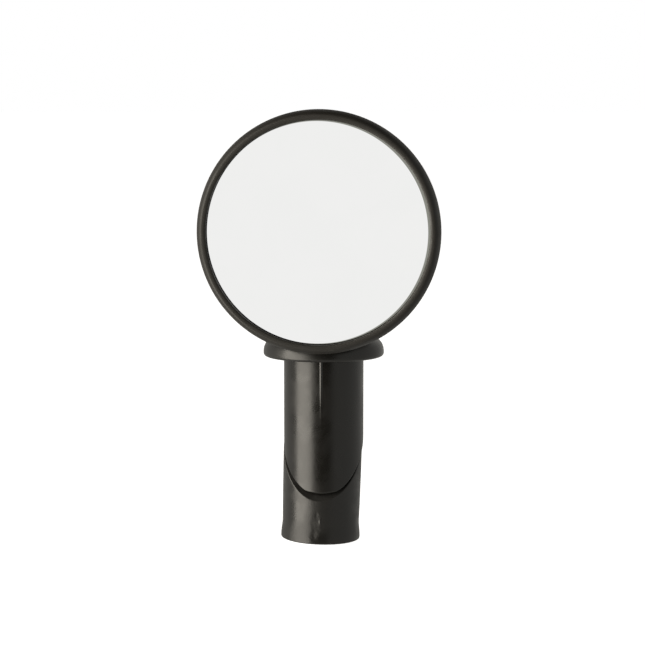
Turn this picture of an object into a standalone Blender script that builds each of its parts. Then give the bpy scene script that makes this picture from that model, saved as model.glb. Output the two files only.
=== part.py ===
"""Round bar-end mirror for a bicycle, held in the handlebar by an expanding wedge plug.

Frame: metres, +Z up along the plug towards the head, mirror facing -Y. The origin is the centre of
the cap's underside, the face that meets the end of the handlebar. Sizes below are in millimetres
times MM. A stated height is measured from that face, and a depth is measured down from it.
"""

import math

import bmesh
import bpy
from mathutils import Matrix

MM = 0.001

# Fits between neighbouring pieces.
SEAT_GAP = 0.3 * MM        # between faces that rest on each other
BALL_GAP = 0.25 * MM       # between the ball, its liner and its seat
THREAD_GAP = 0.3 * MM      # between a thread and its hole
BOLT_PLAY = 0.6 * MM       # round the bolt, which lets the loose wedge hang to one side
SLOT_GAP = 0.4 * MM        # beside the bolt in the wedge's slot and in the washer
CUT_GAP = 0.55 * MM        # square across the diagonal cut while the bolt is slack

# Expanding plug.
PLUG_RADIUS = 9.5 * MM
PLUG_RISE = 2.0 * MM       # how far the plug body stands up into the cap
CUT_ANGLE = math.radians(53.0)
CUT_DEPTH = 20.3 * MM      # where the cut crosses the plug's axis
TIP_DEPTH = 32.0 * MM      # blunt front tip of the body
HEEL_DEPTH = 10.5 * MM     # blunt rear tip of the wedge
FOOT_DEPTH = 44.0 * MM     # foot of the wedge
WEDGE_STEP = 0.13 * MM     # how much less than the plug's radius the wedge's is: at its top,
WAIST_STEP = 0.32 * MM     # at its narrowest, above the foot's lip,
LIP_STEP = 0.05 * MM       # and at that lip
LEAN = math.radians(1.6)   # the slack bolt, nut and wedge hang over towards -X
LEAN_DEPTH = 14.5 * MM

# Expander bolt, its washer and its square nut.
BOLT_RADIUS = 2.5 * MM
BOLT_END_DEPTH = 43.3 * MM
HEAD_RADIUS = 4.25 * MM
HEAD_HEIGHT = 5.0 * MM
HEX_FLATS = 4.0 * MM
HEX_DEPTH = 2.6 * MM
KEY_ROOM = 0.85 * MM       # between the bolt head and the seat's ledge
WASHER_THICKNESS = 0.8 * MM
WASHER_GAP = 0.5 * MM      # under the slack bolt head
NUT_SIDE = 8.0 * MM
NUT_HEIGHT = 4.0 * MM
NUT_DEPTH = 41.5 * MM      # underside of the nut
NUT_RISE = 3.0 * MM        # travel of nut and wedge from here to tight
NUT_DROP = 1.6 * MM        # travel from here to slackest

# End cap.
CAP_RADIUS = 14.35 * MM
CAP_HEIGHT = 4.65 * MM
CAP_SHOULDER = 3.4 * MM
CAP_EDGE = 0.8 * MM
TURRET_WALL = 1.4 * MM

# Ball joint, centred on the plug's axis.
BALL_RADIUS = 4.5 * MM
BALL_HEIGHT = 5.0 * MM
LINER_WALL = 0.7 * MM
LINER_OPENING = math.radians(44.0)
SEAT_WALL = 1.1 * MM
SEAT_OPENING = math.radians(54.0)
KEY_HOLE = 3.0 * MM        # radius of the way through to the bolt
SPRING_HEIGHT = 0.6 * MM
SPRING_SHEET = 0.35 * MM
COLLAR_WALL = 1.1 * MM
COLLAR_LIP = 1.0 * MM
STUD_RADIUS = 2.1 * MM
STUD_TANG = 1.5 * MM
STUD_TANG_LENGTH = 4.5 * MM
STUD_REACH = 6.2 * MM      # from the ball's centre to the shoulder that the neck stands on

# Neck.
NECK_RADIUS = 3.0 * MM
NECK_BEND = 5.5 * MM
PAD_DROP = 6.5 * MM        # below the middle of the head
PAD_THICKNESS = 2.2 * MM
PAD_MARGIN = 0.4 * MM      # from the screw heads to the pad's edge
SCREW_ROOM = 0.5 * MM      # from the screw heads to the arm
SCREW_RADIUS = 1.1 * MM
SCREW_HEAD = 1.9 * MM
SCREW_HEAD_HEIGHT = 1.3 * MM
SCREW_LENGTH = 7.2 * MM
SCREW_ANGLES = (90, 210, 330)

# Mirror head. Its depths are measured forward from the plug's axis.
MIRROR_RADIUS = 28.0 * MM
RIM_HEIGHT = 2.5 * MM      # lowest point of the head
DOME_BACK = 8.5 * MM       # deepest point of the rear shell
DOME_RIM = 15.0 * MM
DOME_STEP = 0.2 * MM       # how far the dome's edge stands out past the spigot
SHOULDER_INSET = 0.7 * MM  # how far the shell's shoulder stays in from the bezel's side
SHELL_WALL = 1.6 * MM
BOSS_PROUD = 0.3 * MM
BEZEL_WALL = 1.0 * MM
BEZEL_FRONT = 21.4 * MM
BEZEL_BACK = 15.9 * MM
BEZEL_WIDEST = 1.6 * MM    # forward of the bezel's back edge
BEZEL_CREST = 0.35 * MM    # how far the crest lies in from the middle of the bezel's face
BEZEL_LIP = 1.2 * MM
LIP_COVER = 0.5 * MM       # how far the lip reaches over the glass
GLASS_THICKNESS = 2.0 * MM
GLASS_CURVE = 600.0 * MM
GASKET_WALL = 0.5 * MM
GASKET_LEG = 0.6 * MM
GLASS_LEDGE = 1.7 * MM     # how far the gasket's leg reaches under the glass
FOAM_INSET = 1.7 * MM      # keeps the foam and the plate clear of the dome
PAD_FOAM = 1.1 * MM
PLATE_THICKNESS = 1.0 * MM

# Steps round turned pieces.
COARSE, MEDIUM, FINE = 24, 40, 56


# ---- Sizes that follow from those above ----
CUT_SLOPE = math.tan(CUT_ANGLE)
WEDGE_CUT_DEPTH = CUT_DEPTH + CUT_GAP / math.cos(CUT_ANGLE)
TIGHT_SHIFT = NUT_RISE / CUT_SLOPE
SLACK_SHIFT = NUT_DROP / CUT_SLOPE
WEDGE_RADIUS = PLUG_RADIUS - WEDGE_STEP
WEDGE_WAIST = PLUG_RADIUS - WAIST_STEP
WEDGE_LIP = PLUG_RADIUS - LIP_STEP

LINER_INNER = BALL_RADIUS + BALL_GAP
LINER_OUTER = LINER_INNER + LINER_WALL
SEAT_INNER = LINER_OUTER + BALL_GAP
SEAT_OUTER = SEAT_INNER + SEAT_WALL
SOCKET_RADIUS = SEAT_OUTER + SEAT_GAP
LIP_BOTTOM = BALL_HEIGHT + SEAT_INNER * math.cos(SEAT_OPENING)
COLLAR_THROAT = SEAT_INNER * math.sin(SEAT_OPENING)
SEAT_TOP = LIP_BOTTOM - SEAT_GAP
SEAT_BOTTOM = BALL_HEIGHT - math.sqrt(SEAT_INNER**2 - KEY_HOLE**2) - SEAT_WALL
SPRING_TOP = SEAT_BOTTOM - SEAT_GAP
LEDGE_HEIGHT = SPRING_TOP - SPRING_HEIGHT - SEAT_GAP
TURRET_RADIUS = SOCKET_RADIUS + TURRET_WALL
COLLAR_INNER = TURRET_RADIUS + SEAT_GAP
COLLAR_RADIUS = COLLAR_INNER + COLLAR_WALL
COLLAR_TOP = LIP_BOTTOM + COLLAR_LIP

HEAD_POCKET = HEAD_RADIUS + BOLT_PLAY
BOLT_HEAD_BOTTOM = LEDGE_HEIGHT - KEY_ROOM - HEAD_HEIGHT
WASHER_TOP = BOLT_HEAD_BOTTOM - WASHER_GAP
POCKET_FLOOR = WASHER_TOP - WASHER_THICKNESS - SEAT_GAP
NUT_TOP = -NUT_DEPTH + NUT_HEIGHT

STUD_TOP = BALL_HEIGHT + STUD_REACH
SCREW_CIRCLE = NECK_RADIUS + SCREW_ROOM + SCREW_HEAD
PAD_RADIUS = SCREW_CIRCLE + SCREW_HEAD + PAD_MARGIN
MIRROR_HEIGHT = RIM_HEIGHT + MIRROR_RADIUS
PAD_HEIGHT = MIRROR_HEIGHT - PAD_DROP
BOSS_FACE = DOME_BACK - BOSS_PROUD
PAD_FRONT = BOSS_FACE - SEAT_GAP
PAD_BACK = PAD_FRONT - PAD_THICKNESS
BOSS_RADIUS = PAD_RADIUS + SEAT_GAP

BEZEL_INNER = MIRROR_RADIUS - BEZEL_WALL
SPIGOT_RADIUS = BEZEL_INNER - SEAT_GAP
GASKET_INNER = SPIGOT_RADIUS - GASKET_WALL
GLASS_RADIUS = GASKET_INNER - SEAT_GAP
WINDOW_RADIUS = GLASS_RADIUS - LIP_COVER
LIP_BACK = BEZEL_FRONT - BEZEL_LIP
GLASS_EDGE_FRONT = LIP_BACK - SEAT_GAP
GLASS_SAG = GLASS_RADIUS**2 / (2 * GLASS_CURVE)
GLASS_EDGE_BACK = GLASS_EDGE_FRONT - GLASS_THICKNESS
GASKET_BACK = GLASS_EDGE_BACK - SEAT_GAP - GASKET_LEG
SPIGOT_FRONT = GASKET_BACK - SEAT_GAP
SPIGOT_INNER = GLASS_RADIUS - GLASS_LEDGE
FOAM_RADIUS = SPIGOT_INNER - FOAM_INSET
FOAM_BACK = GLASS_EDGE_BACK - SEAT_GAP - PAD_FOAM
PLATE_FRONT = FOAM_BACK - SEAT_GAP
PLATE_BACK = PLATE_FRONT - PLATE_THICKNESS
DOME_EDGE = SPIGOT_RADIUS + DOME_STEP
SHELL_STEP = BEZEL_BACK - SEAT_GAP


# ---- Tools ----
for old in list(bpy.data.objects):
    bpy.data.objects.remove(old)

parts = bpy.data.collections.new("bar_end_mirror")
cutters = bpy.data.collections.new("cutters")
for collection in (parts, cutters):
    bpy.context.scene.collection.children.link(collection)


def material(name, colour, roughness, metallic=0.0):
    """A plain Principled material."""
    made = bpy.data.materials.new(name)
    made.use_nodes = True
    shader = made.node_tree.nodes["Principled BSDF"]
    shader.inputs["Base Color"].default_value = (*colour, 1.0)
    shader.inputs["Roughness"].default_value = roughness
    shader.inputs["Metallic"].default_value = metallic
    return made


def place(obj, parent=None, location=(0, 0, 0), rotation=(0, 0, 0)):
    """Set an object's parent, and its place in that parent."""
    obj.parent = parent
    obj.location = location
    obj.rotation_euler = rotation
    return obj


def empty(name, location, rotation=(0, 0, 0)):
    """An axis that pieces are parented to."""
    made = bpy.data.objects.new(name, None)
    made.empty_display_size = 5 * MM
    parts.objects.link(made)
    return place(made, None, location, rotation)


def arc(centre_r, centre_z, radius, start, end, steps):
    """Points of an outline's round stretch, its angles in degrees up from +R."""
    points = []
    for step in range(steps + 1):
        angle = math.radians(start + (end - start) * step / steps)
        points.append((centre_r + radius * math.cos(angle), centre_z + radius * math.sin(angle)))
    return points


def turned(name, outline, steps, finish, closed=True):
    """A turned piece about local Z. The outline runs down its outer side; an open one ends on the axis."""
    mesh = bpy.data.meshes.new(name)
    count = len(outline)
    edges = [(at, at + 1) for at in range(count - 1)]
    if closed:
        edges.append((count - 1, 0))
    mesh.from_pydata([(r, 0.0, z) for r, z in outline], edges, [])
    obj = bpy.data.objects.new(name, mesh)
    parts.objects.link(obj)
    screw = obj.modifiers.new("turn", "SCREW")
    screw.steps = steps
    screw.render_steps = steps
    screw.use_merge_vertices = True
    screw.merge_threshold = 0.00001
    mesh.materials.append(finish)
    return obj


def solid(name, build, finish=None):
    """An object whose mesh is filled in by build(bmesh)."""
    mesh = bpy.data.meshes.new(name)
    shape = bmesh.new()
    build(shape)
    shape.to_mesh(mesh)
    shape.free()
    obj = bpy.data.objects.new(name, mesh)
    if finish is None:
        cutters.objects.link(obj)
        obj.display_type = "WIRE"
        obj.hide_render = True
    else:
        parts.objects.link(obj)
        mesh.materials.append(finish)
    return obj


def box(low, high):
    """Builds a box between two corners."""
    size = [top - bottom for bottom, top in zip(low, high)]
    middle = [(top + bottom) / 2 for bottom, top in zip(low, high)]

    def build(shape):
        matrix = Matrix.Translation(middle) @ Matrix.Diagonal((*size, 1.0))
        bmesh.ops.create_cube(shape, size=1.0, matrix=matrix)

    return build


def rod(radius, low, high, segments, turn=0.0):
    """Builds a cylinder along local Z."""

    def build(shape):
        matrix = Matrix.Translation((0, 0, (low + high) / 2)) @ Matrix.Rotation(turn, 4, "Z")
        bmesh.ops.create_cone(
            shape, cap_ends=True, segments=segments, radius1=radius, radius2=radius,
            depth=high - low, matrix=matrix,
        )

    return build


def combine(obj, other, operation="DIFFERENCE"):
    """Cut a piece with another object, or join the other to it."""
    step = obj.modifiers.new(other.name, "BOOLEAN")
    step.operation = operation
    step.object = other
    step.solver = "EXACT"


def diagonal(name, depth, above):
    """A cutter on one side of the plug's diagonal plane, which crosses the axis at this depth."""
    reach = 60 * MM
    low, high = (0.0, reach) if above else (-reach, 0.0)
    cutter = solid(name, box((-reach, -reach, low), (reach, reach, high)))
    return cutter, (0, 0, -depth), (CUT_ANGLE, 0, 0)


def smooth(obj, angle=35):
    """Shade a round piece smooth, keeping its true edges sharp."""
    mesh = obj.data
    mesh.shade_smooth()
    mesh.set_sharp_from_angle(angle=math.radians(angle))


# ---- Materials ----
black_nylon = material("black_nylon", (0.022, 0.021, 0.019), 0.42)
wedge_nylon = material("wedge_nylon", (0.026, 0.025, 0.023), 0.55)
cap_nylon = material("cap_nylon", (0.020, 0.019, 0.018), 0.38)
gloss_plastic = material("bezel_plastic", (0.018, 0.017, 0.015), 0.33)
white_acetal = material("white_acetal", (0.72, 0.71, 0.67), 0.45)
bronze_liner = material("bronze_liner", (0.42, 0.31, 0.17), 0.40, 0.8)
bright_steel = material("bright_steel", (0.56, 0.56, 0.55), 0.28, 1.0)
zinc_steel = material("zinc_steel", (0.50, 0.51, 0.52), 0.38, 1.0)
spring_steel = material("spring_steel", (0.33, 0.32, 0.31), 0.35, 1.0)
silvered_glass = material("silvered_glass", (0.90, 0.90, 0.89), 0.02, 1.0)
grey_foam = material("grey_foam", (0.16, 0.16, 0.16), 0.95)
black_rubber = material("black_rubber", (0.015, 0.015, 0.015), 0.75)
plate_plastic = material("plate_plastic", (0.10, 0.10, 0.10), 0.55)


# ---- Expanding plug: a body and a wedge that slides on the body's diagonal cut ----
def make_expander_body():
    """Moulded body: the plug's upper part, which houses the bolt's head and the ball's seat."""
    chamfer = 0.4 * MM
    below_tip = -TIP_DEPTH - 2 * MM
    bore = BOLT_RADIUS + BOLT_PLAY
    outline = [
        (PLUG_RADIUS - chamfer, PLUG_RISE),
        (PLUG_RADIUS, PLUG_RISE - chamfer),
        (PLUG_RADIUS, below_tip),
        (bore, below_tip),
        (bore, POCKET_FLOOR),
        (HEAD_POCKET, POCKET_FLOOR),
        (HEAD_POCKET, LEDGE_HEIGHT),
        (SOCKET_RADIUS, LEDGE_HEIGHT),
        (SOCKET_RADIUS, PLUG_RISE),
    ]
    body = turned("expander_body", outline, FINE, black_nylon)
    cutter, location, rotation = diagonal("body_diagonal", CUT_DEPTH, above=False)
    place(cutter, None, location, rotation)
    reach = 2 * PLUG_RADIUS
    tip = solid("body_tip", box((-reach, -reach, -TIP_DEPTH - reach), (reach, reach, -TIP_DEPTH)))
    combine(body, cutter)
    combine(body, tip)
    smooth(body)


def make_expander_wedge(axis):
    """Moulded wedge: the plug's lower part, drawn up the diagonal by the nut in its pocket."""
    lip_rise = 0.8 * MM
    waist_rise = 4.5 * MM
    edge = 0.3 * MM
    outline = [
        (0.0, 0.0),
        (WEDGE_RADIUS, 0.0),
        (WEDGE_RADIUS, -WEDGE_CUT_DEPTH),
        (WEDGE_WAIST, -FOOT_DEPTH + waist_rise),
        (WEDGE_LIP, -FOOT_DEPTH + lip_rise),
        (WEDGE_LIP - edge, -FOOT_DEPTH),
        (0.0, -FOOT_DEPTH),
    ]
    wedge = turned("expander_wedge", outline, FINE, wedge_nylon, closed=False)
    place(wedge, axis, (0, 0, LEAN_DEPTH))
    cutter, (x, y, z), rotation = diagonal("wedge_diagonal", WEDGE_CUT_DEPTH, above=True)
    place(cutter, axis, (x, y, z + LEAN_DEPTH), rotation)
    reach = 2 * WEDGE_RADIUS
    heel = solid("wedge_heel", box((-reach, -reach, -HEEL_DEPTH), (reach, reach, reach)))

    half_slot = BOLT_RADIUS + SLOT_GAP
    slot = solid("bolt_slot", box(
        (-half_slot, -half_slot - TIGHT_SHIFT, -FOOT_DEPTH + lip_rise),
        (half_slot, half_slot + SLACK_SHIFT, 0.0),
    ))
    half_nut = NUT_SIDE / 2 + THREAD_GAP
    pocket = solid("nut_pocket", box(
        (-half_nut, -half_nut - TIGHT_SHIFT, -FOOT_DEPTH - reach),
        (half_nut, half_nut + SLACK_SHIFT, NUT_TOP + SEAT_GAP),
    ))
    for piece in (heel, slot, pocket):
        place(piece, axis, (0, 0, LEAN_DEPTH))
    for piece in (cutter, heel, slot, pocket):
        combine(wedge, piece)
    smooth(wedge)


def make_bolt_set(axis):
    """Socket-head bolt, its washer in the body, and the square nut in the wedge."""
    edge = 0.4 * MM
    head_top = BOLT_HEAD_BOTTOM + HEAD_HEIGHT
    outline = [
        (0.0, head_top),
        (HEAD_RADIUS - edge, head_top),
        (HEAD_RADIUS, head_top - edge),
        (HEAD_RADIUS, BOLT_HEAD_BOTTOM),
        (BOLT_RADIUS, BOLT_HEAD_BOTTOM),
        (BOLT_RADIUS, -BOLT_END_DEPTH + edge),
        (BOLT_RADIUS - edge, -BOLT_END_DEPTH),
        (0.0, -BOLT_END_DEPTH),
    ]
    bolt = turned("expander_bolt", outline, COARSE, zinc_steel, closed=False)
    hexagon = solid("hex_socket", rod(
        HEX_FLATS / math.sqrt(3), head_top - HEX_DEPTH, head_top + HEX_DEPTH, segments=6,
    ))
    half = NUT_SIDE / 2
    nut = solid("square_nut", box((-half, -half, -NUT_DEPTH), (half, half, NUT_TOP)), zinc_steel)
    thread = solid("nut_thread", rod(
        BOLT_RADIUS + THREAD_GAP, -NUT_DEPTH - NUT_HEIGHT, NUT_TOP + NUT_HEIGHT, segments=COARSE,
    ))
    for piece in (bolt, hexagon, nut, thread):
        place(piece, axis, (0, 0, LEAN_DEPTH))
    combine(bolt, hexagon)
    combine(nut, thread)

    washer_bottom = WASHER_TOP - WASHER_THICKNESS
    inner, outer = BOLT_RADIUS + SLOT_GAP, HEAD_POCKET - BALL_GAP
    washer = turned("bolt_washer", [
        (outer, WASHER_TOP), (outer, washer_bottom), (inner, washer_bottom), (inner, WASHER_TOP),
    ], COARSE, zinc_steel)
    for piece in (bolt, nut, washer):
        smooth(piece)


# ---- Cap and ball joint ----
def make_end_cap():
    """Moulded cap: a round flange against the bar's end, with a turret round the ball's seat."""
    web_bottom = PLUG_RISE + SEAT_GAP
    plug_hole = PLUG_RADIUS + SEAT_GAP
    edge = 0.3 * MM
    shoulder_z = CAP_HEIGHT - CAP_SHOULDER
    outline = [
        (TURRET_RADIUS - edge, SEAT_TOP),
        (TURRET_RADIUS, SEAT_TOP - edge),
        (TURRET_RADIUS, CAP_HEIGHT),
        *arc(CAP_RADIUS - CAP_SHOULDER, shoulder_z, CAP_SHOULDER, 90, 0, 6),
        *arc(CAP_RADIUS - CAP_EDGE, CAP_EDGE, CAP_EDGE, 0, -90, 3),
        (plug_hole, 0.0),
        (plug_hole, web_bottom),
        (SOCKET_RADIUS, web_bottom),
        (SOCKET_RADIUS, SEAT_TOP),
    ]
    smooth(turned("end_cap", outline, FINE, cap_nylon))


def make_socket_collar():
    """Collar pressed over the turret, whose lip keeps the seat and ball in."""
    skirt_bottom = CAP_HEIGHT + SEAT_GAP
    edge = 0.4 * MM
    flare = 0.65 * MM
    outline = [
        (COLLAR_RADIUS - edge, COLLAR_TOP),
        (COLLAR_RADIUS, COLLAR_TOP - edge),
        (COLLAR_RADIUS, skirt_bottom),
        (COLLAR_INNER, skirt_bottom),
        (COLLAR_INNER, LIP_BOTTOM),
        (COLLAR_THROAT, LIP_BOTTOM),
        (COLLAR_THROAT, COLLAR_TOP - edge),
        (COLLAR_THROAT + flare, COLLAR_TOP),
    ]
    smooth(turned("socket_collar", outline, MEDIUM, cap_nylon))


def make_ball_set(centre):
    """Seat, liner and sprung washer of the ball joint, on the ball's centre."""
    key_angle = math.degrees(math.acos(KEY_HOLE / SEAT_INNER))
    top = SEAT_TOP - BALL_HEIGHT
    top_angle = math.degrees(math.asin(top / SEAT_INNER))
    bottom = SEAT_BOTTOM - BALL_HEIGHT
    seat = turned("ball_seat", [
        (SEAT_OUTER, top),
        (SEAT_OUTER, bottom),
        (KEY_HOLE, bottom),
        *arc(0, 0, SEAT_INNER, -key_angle, top_angle, 10),
    ], MEDIUM, white_acetal)

    low_angle = -math.degrees(math.acos(KEY_HOLE / LINER_OUTER))
    high_angle = 90 - math.degrees(LINER_OPENING)
    liner = turned("ball_liner", [
        *arc(0, 0, LINER_OUTER, high_angle, low_angle, 8),
        *arc(0, 0, LINER_INNER, low_angle, high_angle, 8),
    ], MEDIUM, bronze_liner)
    for piece in (seat, liner):
        place(piece, centre)
        smooth(piece)

    rim = 1.0 * MM
    inner, outer = KEY_HOLE + rim, SEAT_OUTER - BALL_GAP
    spring = turned("seat_spring", [
        (outer, SPRING_TOP - SPRING_HEIGHT + SPRING_SHEET),
        (outer, SPRING_TOP - SPRING_HEIGHT),
        (inner, SPRING_TOP - SPRING_SHEET),
        (inner, SPRING_TOP),
    ], MEDIUM, spring_steel)
    smooth(spring)


def make_ball_stud(centre):
    """Steel ball with a shank and a thinner tang that is pressed into the neck."""
    joint_angle = math.degrees(math.acos(STUD_RADIUS / BALL_RADIUS))
    shoulder = STUD_TOP - BALL_HEIGHT
    top = shoulder + STUD_TANG_LENGTH
    stud = turned("ball_stud", [
        (0.0, top),
        (STUD_TANG, top),
        (STUD_TANG, shoulder),
        (STUD_RADIUS, shoulder),
        *arc(0, 0, BALL_RADIUS, joint_angle, -90, 10)[:-1],
        (0.0, -BALL_RADIUS),
    ], COARSE, bright_steel, closed=False)
    place(stud, centre)
    smooth(stud)


# ---- Neck and its screws ----
def neck_tube(centre):
    """The neck's round arm: up from the stud, then over towards the back of the head."""
    bottom = STUD_TOP + SEAT_GAP
    bend_start = PAD_HEIGHT - NECK_BEND
    points = [(0.0, bottom)]
    for r, z in arc(-NECK_BEND, bend_start, NECK_BEND, 0, 90, 8):
        points.append((r, z))
    points.append((-(PAD_BACK + PAD_THICKNESS / 2), PAD_HEIGHT))
    curve = bpy.data.curves.new("neck_route", "CURVE")
    curve.dimensions = "3D"
    curve.bevel_depth = NECK_RADIUS
    curve.bevel_resolution = 6
    curve.use_fill_caps = True
    spline = curve.splines.new("POLY")
    spline.points.add(len(points) - 1)
    for point, (y, z) in zip(spline.points, points):
        point.co = (0.0, y, z - BALL_HEIGHT, 1.0)
    route = bpy.data.objects.new("neck_route", curve)
    parts.objects.link(route)
    place(route, centre)
    bpy.context.view_layer.update()

    graph = bpy.context.evaluated_depsgraph_get()
    mesh = bpy.data.meshes.new_from_object(route.evaluated_get(graph))
    shape = bmesh.new()
    shape.from_mesh(mesh)
    bmesh.ops.remove_doubles(shape, verts=shape.verts, dist=0.00001)
    bmesh.ops.recalc_face_normals(shape, faces=shape.faces)
    shape.to_mesh(mesh)
    shape.free()
    neck = bpy.data.objects.new("neck_arm", mesh)
    parts.objects.link(neck)
    bpy.data.objects.remove(route)
    return place(neck, centre)


def screw_places():
    """X and height of each screw, on a circle round the pad's middle."""
    for angle in SCREW_ANGLES:
        turn = math.radians(angle)
        yield SCREW_CIRCLE * math.cos(turn), PAD_HEIGHT + SCREW_CIRCLE * math.sin(turn)


def facing_back(obj, centre, x, y, height):
    """Stand a piece made along local Z so that Z points to the rear."""
    return place(obj, centre, (x, y, height - BALL_HEIGHT), (-math.pi / 2, 0, 0))


def make_neck(centre):
    """Moulded neck: a bent arm that ends in a round pad, with a hole for the stud's tang."""
    neck = neck_tube(centre)
    neck.data.materials.append(black_nylon)
    pad = solid("neck_pad", rod(PAD_RADIUS, 0.0, PAD_THICKNESS, segments=MEDIUM))
    facing_back(pad, centre, 0, -PAD_FRONT, PAD_HEIGHT)
    combine(neck, pad, "UNION")
    bottom = STUD_TOP + SEAT_GAP - BALL_HEIGHT
    hole = solid("tang_hole", rod(
        STUD_TANG + THREAD_GAP, bottom - STUD_TANG_LENGTH, bottom + STUD_TANG_LENGTH,
        segments=COARSE,
    ))
    place(hole, centre)
    combine(neck, hole)
    for number, (x, height) in enumerate(screw_places(), 1):
        drill = solid(f"pad_hole_{number}", rod(
            SCREW_RADIUS + THREAD_GAP, -PAD_THICKNESS, 2 * PAD_THICKNESS, segments=16,
        ))
        facing_back(drill, centre, x, -PAD_FRONT, height)
        combine(neck, drill)
    smooth(neck)


def make_neck_screws(centre):
    """Three pan-head screws that hold the neck's pad to the rear shell."""
    top = SCREW_HEAD_HEIGHT
    tip = 0.7 * MM
    outline = [
        (0.0, top),
        (0.55 * SCREW_HEAD, 0.95 * top),
        (0.90 * SCREW_HEAD, 0.60 * top),
        (SCREW_HEAD, 0.0),
        (SCREW_RADIUS, 0.0),
        (SCREW_RADIUS, -SCREW_LENGTH + tip),
        (SCREW_RADIUS - tip, -SCREW_LENGTH),
        (0.0, -SCREW_LENGTH),
    ]
    for number, (x, height) in enumerate(screw_places(), 1):
        screw = turned(f"neck_screw_{number}", outline, 16, zinc_steel, closed=False)
        facing_back(screw, centre, x, -PAD_BACK + SEAT_GAP, height)
        smooth(screw)


# ---- Mirror head: local Z runs forward, from the plug's axis ----
def facing_front(obj, centre, height=MIRROR_HEIGHT):
    """Stand a piece made along local Z so that Z points forward."""
    return place(obj, centre, (0, 0, height - BALL_HEIGHT), (math.pi / 2, 0, 0))


def crown(radius, front, curve, steps, outwards):
    """Points across a slightly convex face, from its middle to its rim or back again."""
    points = []
    for step in range(steps + 1):
        r = radius * step / steps
        points.append((r, front - r * r / (2 * curve)))
    return points if outwards else points[::-1]


def make_rear_shell(centre):
    """Domed rear shell with a spigot for the bezel and a boss for the neck's screws."""
    rise = DOME_RIM - DOME_BACK
    dome = (DOME_EDGE**2 + rise**2) / (2 * rise)
    middle = DOME_BACK + dome
    outer_end = math.degrees(math.asin(DOME_EDGE / dome))
    inner = dome - SHELL_WALL
    inner_end = math.degrees(math.asin(SPIGOT_INNER / inner))
    shoulder = MIRROR_RADIUS - SHOULDER_INSET
    edge = 0.2 * MM
    outline = [
        (0.0, middle - inner),
        *arc(0, middle, inner, -90, -90 + inner_end, 5)[1:],
        (SPIGOT_INNER, SPIGOT_FRONT),
        (SPIGOT_RADIUS, SPIGOT_FRONT),
        (SPIGOT_RADIUS, SHELL_STEP),
        (shoulder - edge / 2, SHELL_STEP),
        (shoulder, SHELL_STEP - edge),
        *arc(0, middle, dome, -90 + outer_end, -90, 7)[:-1],
        (0.0, DOME_BACK),
    ]
    shell = turned("rear_shell", outline, FINE, black_nylon, closed=False)
    facing_front(shell, centre)
    boss = solid("shell_boss", rod(
        BOSS_RADIUS, BOSS_FACE, PLATE_BACK - SEAT_GAP, segments=MEDIUM,
    ))
    facing_front(boss, centre, PAD_HEIGHT)
    combine(shell, boss, "UNION")
    for number, (x, height) in enumerate(screw_places(), 1):
        drill = solid(f"boss_hole_{number}", rod(
            SCREW_RADIUS + THREAD_GAP, -SCREW_LENGTH - SEAT_GAP, 0.0, segments=16,
        ))
        facing_back(drill, centre, x, -PAD_BACK, height)
        combine(shell, drill)
    smooth(shell)


def make_glass_stack(centre):
    """Mirror glass in its gasket, on a foam pad and a flat backing plate."""
    glass_front = GLASS_EDGE_FRONT + GLASS_SAG
    glass = turned("mirror_glass", [
        *crown(GLASS_RADIUS, glass_front, GLASS_CURVE, 4, outwards=True),
        *crown(GLASS_RADIUS, glass_front - GLASS_THICKNESS, GLASS_CURVE, 4, outwards=False),
    ], FINE, silvered_glass, closed=False)

    leg_inner = SPIGOT_INNER + SEAT_GAP
    leg_front = GASKET_BACK + GASKET_LEG
    gasket = turned("glass_gasket", [
        (SPIGOT_RADIUS, GLASS_EDGE_FRONT),
        (SPIGOT_RADIUS, GASKET_BACK),
        (leg_inner, GASKET_BACK),
        (leg_inner, leg_front),
        (GASKET_INNER, leg_front),
        (GASKET_INNER, GLASS_EDGE_FRONT),
    ], FINE, black_rubber)

    foam_front = glass_front - GLASS_THICKNESS - SEAT_GAP
    foam = turned("foam_pad", [
        *crown(FOAM_RADIUS, foam_front, GLASS_CURVE, 3, outwards=True),
        (FOAM_RADIUS, FOAM_BACK),
        (0.0, FOAM_BACK),
    ], MEDIUM, grey_foam, closed=False)
    plate = turned("backing_plate", [
        (0.0, PLATE_FRONT),
        (FOAM_RADIUS, PLATE_FRONT),
        (FOAM_RADIUS, PLATE_BACK),
        (0.0, PLATE_BACK),
    ], MEDIUM, plate_plastic, closed=False)
    for piece in (glass, gasket, foam, plate):
        facing_front(piece, centre)
        smooth(piece)


def make_bezel_ring(centre):
    """Bezel snapped over the shell's spigot: a rounded ring whose lip holds the glass in."""
    widest = BEZEL_BACK + BEZEL_WIDEST
    crest = (MIRROR_RADIUS + WINDOW_RADIUS) / 2 - BEZEL_CREST
    half_width = MIRROR_RADIUS - crest
    depth = BEZEL_FRONT - widest
    lip_half = crest - WINDOW_RADIUS
    lip_depth = 0.6 * BEZEL_LIP
    back_edge = 0.4 * MM
    lip_steps, face_steps = 4, 6
    outline = [(WINDOW_RADIUS, LIP_BACK)]
    for step in range(lip_steps):
        turn = math.radians(180 - 90 * step / lip_steps)
        outline.append((
            crest + lip_half * math.cos(turn), BEZEL_FRONT - lip_depth * (1 - math.sin(turn)),
        ))
    for step in range(face_steps + 1):
        turn = math.radians(90 - 90 * step / face_steps)
        outline.append((crest + half_width * math.cos(turn), widest + depth * math.sin(turn)))
    outline += [
        (MIRROR_RADIUS - back_edge, BEZEL_BACK),
        (BEZEL_INNER, BEZEL_BACK),
        (BEZEL_INNER, LIP_BACK),
    ]
    bezel = turned("bezel_ring", outline, FINE, gloss_plastic)
    facing_front(bezel, centre)
    smooth(bezel)


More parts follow.
